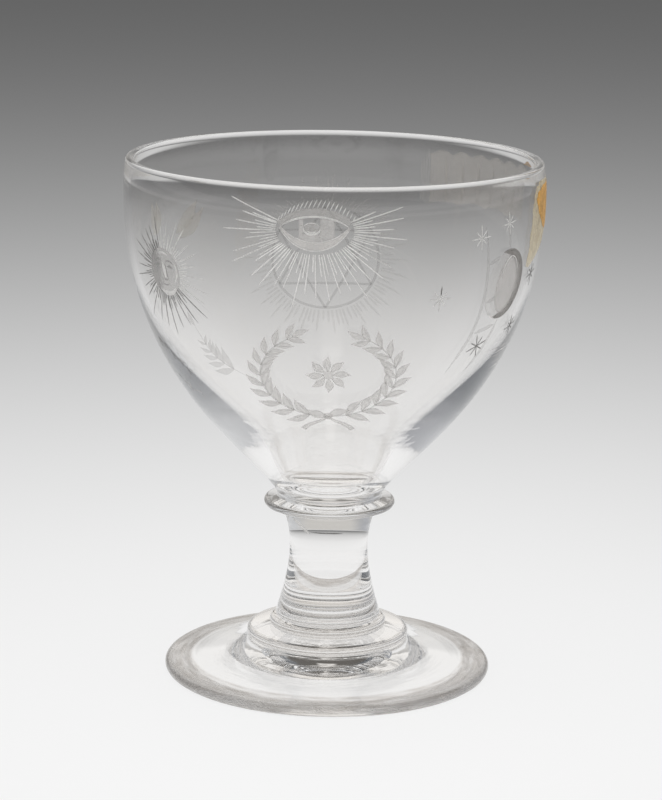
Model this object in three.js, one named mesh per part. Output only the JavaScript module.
// A rummer: a drinking glass with an ovoid bowl, a collar, a short waisted stem and a stepped foot.
// Millimetres, +Z up, with the origin at the centre of the foot's underside.
// Each piece is turned about Z from an outline of radius and height, and rests on the piece below.
import * as THREE from 'three';

// Heights at which one piece meets the next
const FOOT_TOP_Z = 9.0;
const LOWER_STEP_TOP_Z = 11.8;
const UPPER_STEP_TOP_Z = 14.6;
const STEM_TOP_Z = 45.6;
const COLLAR_TOP_Z = 48.4;
const RIM_Z = 140.0;

// Foot, and the points that pull its curves, each as [radius, z]
const FOOT_RADIUS = 44.2;
const FOOT_EDGE_RADIUS = 1.3;
const FOOT_REST_INNER_RADIUS = 37.0;
const FOOT_DOME_RADIUS = 27.6;
const FOOT_DOME_Z = 5.4;
const FOOT_TOP_RADIUS = 21.4;
const FOOT_APRON_PULLS = [[37.5, 3.0], [33.0, 3.9]];
const FOOT_SHOULDER_PULLS = [[25.2, 6.3], [22.8, 7.2]];
const HOLLOW_FLAT_RADIUS = 12.0;
const HOLLOW_Z = 3.2;
const HOLLOW_PULLS = [[19.2, 2.9], [24.0, 2.5]];

// Steps between the foot and the stem
const LOWER_STEP_RADIUS = 21.9;
const UPPER_STEP_RADIUS = 15.8;

// Stem
const STEM_BASE_RADIUS = 14.1;
const STEM_BASE_EDGE_RADIUS = 0.9;
const STEM_WAIST_FOOT = [13.9, 16.3];
const STEM_WAIST_PULLS = [[11.5, 24.5], [8.9, 34.0]];
const STEM_FLARE = [11.9, 42.8];
const STEM_TOP_RADIUS = 12.8;

// Collar
const COLLAR_RADIUS = 17.65;
const COLLAR_EDGE_RADIUS = 1.1;

// Bowl: the outer wall, the round bead at the rim, and the inner wall, thickest near its floor
const BOWL_BASE_RADIUS = 14.3;
const BOWL_HEEL_Z = 49.5;
const BOWL_RADIUS = 55.6;
const BOWL_WIDEST_Z = 131.0;
const OUTER_WALL_PULLS = [[19.6, 60.1], [55.6, 79.9]];
const OUTER_LIP_PULLS = [[55.6, 134.0], [55.35, 136.6]];
const RIM_RADIUS = 55.15;
const RIM_BEAD_RADIUS = 1.2;
const INNER_LIP_PULLS = [[53.12, 136.9], [53.5, 135.3]];
const INNER_RADIUS = 53.6;
const INNER_WIDEST_Z = 131.0;
const INNER_WALL_PULLS = [[53.9, 88.3], [30.5, 74.6]];
const BOWL_FLOOR_RADIUS = 13.0;
const BOWL_FLOOR_EDGE_Z = 56.0;
const BOWL_FLOOR_Z = 52.0;
const BOWL_FLOOR_PULLS = [[9.4, 52.9], [4.5, 52.2]];

// Sides of the turned solids, and steps along each curve of an outline
const SEGMENTS = 48;
const WALL_STEPS = 12;
const CURVE_STEPS = 5;
const EDGE_STEPS = 3;

const QUARTER_TURN = Math.PI / 2;

const GLASS_LOOK = { color: 0xe9ecea, roughness: 0.03, metalness: 0.0 };

function point(radius, z) {
  return new THREE.Vector2(radius, z);
}

// Points from one end of a curve to the other, without the end itself
function along(curve, steps) {
  return curve.getPoints(steps).slice(0, -1);
}

// Points from start to end of a curve that two points pull, without the end itself
function pulled(start, [pull1, pull2], end, steps) {
  return along(new THREE.CubicBezierCurve(start, point(...pull1), point(...pull2), end), steps);
}

// Half a circle that bulges away from the axis, from its lowest point up to its highest
function roundEdge(tipRadius, middleZ, edgeRadius) {
  const centreRadius = tipRadius - edgeRadius;
  const half = new THREE.EllipseCurve(
    centreRadius, middleZ, edgeRadius, edgeRadius, -QUARTER_TURN, QUARTER_TURN);
  return half.getPoints(2 * EDGE_STEPS);
}

// Turns an outline that starts and ends on the axis, and stands it up along Z
function turned(name, outline) {
  const geometry = new THREE.LatheGeometry(outline, SEGMENTS);
  geometry.rotateX(QUARTER_TURN);
  const mesh = new THREE.Mesh(geometry, new THREE.MeshStandardMaterial(GLASS_LOOK));
  mesh.name = name;
  return mesh;
}

// A low disc with a rounded edge, whose flat faces take the piece below and the piece above
function disc(name, bottomZ, topZ, radius) {
  const edgeRadius = (topZ - bottomZ) / 2;
  const outline = [
    point(0, bottomZ),
    ...roundEdge(radius, bottomZ + edgeRadius, edgeRadius),
    point(0, topZ),
  ];
  return turned(name, outline);
}

// The foot rests on a flat ring, and inside it the underside is hollowed
function foot() {
  const edgeCentreRadius = FOOT_RADIUS - FOOT_EDGE_RADIUS;
  const hollowEdge = point(HOLLOW_FLAT_RADIUS, HOLLOW_Z);
  const restEdge = point(FOOT_REST_INNER_RADIUS, 0);
  const apronEdge = point(edgeCentreRadius, 2 * FOOT_EDGE_RADIUS);
  const domeEdge = point(FOOT_DOME_RADIUS, FOOT_DOME_Z);
  const topEdge = point(FOOT_TOP_RADIUS, FOOT_TOP_Z);
  const outline = [
    point(0, HOLLOW_Z),
    ...pulled(hollowEdge, HOLLOW_PULLS, restEdge, CURVE_STEPS),
    restEdge,
    ...roundEdge(FOOT_RADIUS, FOOT_EDGE_RADIUS, FOOT_EDGE_RADIUS),
    ...pulled(apronEdge, FOOT_APRON_PULLS, domeEdge, CURVE_STEPS).slice(1),
    ...pulled(domeEdge, FOOT_SHOULDER_PULLS, topEdge, CURVE_STEPS),
    topEdge,
    point(0, FOOT_TOP_Z),
  ];
  return turned('foot', outline);
}

// The stem has a rounded ring at its base, a waist, and a flare under the collar
function stem() {
  const ringMiddleZ = UPPER_STEP_TOP_Z + STEM_BASE_EDGE_RADIUS;
  const flare = point(...STEM_FLARE);
  const outline = [
    point(0, UPPER_STEP_TOP_Z),
    ...roundEdge(STEM_BASE_RADIUS, ringMiddleZ, STEM_BASE_EDGE_RADIUS).slice(0, -1),
    ...pulled(point(...STEM_WAIST_FOOT), STEM_WAIST_PULLS, flare, WALL_STEPS),
    flare,
    point(STEM_TOP_RADIUS, STEM_TOP_Z),
    point(0, STEM_TOP_Z),
  ];
  return turned('stem', outline);
}

function collar() {
  const middleZ = STEM_TOP_Z + COLLAR_EDGE_RADIUS;
  const outline = [
    point(0, STEM_TOP_Z),
    ...roundEdge(COLLAR_RADIUS, middleZ, COLLAR_EDGE_RADIUS),
    point(BOWL_BASE_RADIUS, COLLAR_TOP_Z),
    point(0, COLLAR_TOP_Z),
  ];
  return turned('collar', outline);
}

// The bowl's outline goes out along its base, up the outer wall, over the rim and down inside
function bowl() {
  const beadZ = RIM_Z - RIM_BEAD_RADIUS;
  const heel = point(BOWL_BASE_RADIUS, BOWL_HEEL_Z);
  const widest = point(BOWL_RADIUS, BOWL_WIDEST_Z);
  const outerLipEnd = point(RIM_RADIUS, beadZ);
  const innerLipEnd = point(RIM_RADIUS - 2 * RIM_BEAD_RADIUS, beadZ);
  const innerWidest = point(INNER_RADIUS, INNER_WIDEST_Z);
  const floorEdge = point(BOWL_FLOOR_RADIUS, BOWL_FLOOR_EDGE_Z);
  const floorCentre = point(0, BOWL_FLOOR_Z);
  const bead = new THREE.EllipseCurve(
    RIM_RADIUS - RIM_BEAD_RADIUS, beadZ, RIM_BEAD_RADIUS, RIM_BEAD_RADIUS, 0, Math.PI);
  const outline = [
    point(0, COLLAR_TOP_Z),
    point(BOWL_BASE_RADIUS, COLLAR_TOP_Z),
    ...pulled(heel, OUTER_WALL_PULLS, widest, WALL_STEPS),
    ...pulled(widest, OUTER_LIP_PULLS, outerLipEnd, EDGE_STEPS),
    ...along(bead, 2 * EDGE_STEPS),
    ...pulled(innerLipEnd, INNER_LIP_PULLS, innerWidest, EDGE_STEPS),
    ...pulled(innerWidest, INNER_WALL_PULLS, floorEdge, WALL_STEPS),
    ...pulled(floorEdge, BOWL_FLOOR_PULLS, floorCentre, CURVE_STEPS),
    floorCentre,
  ];
  return turned('bowl', outline);
}

const rummer = new THREE.Group();
rummer.add(
  foot(),
  disc('lower_step', FOOT_TOP_Z, LOWER_STEP_TOP_Z, LOWER_STEP_RADIUS),
  disc('upper_step', LOWER_STEP_TOP_Z, UPPER_STEP_TOP_Z, UPPER_STEP_RADIUS),
  stem(),
  collar(),
  bowl(),
);

export default rummer;
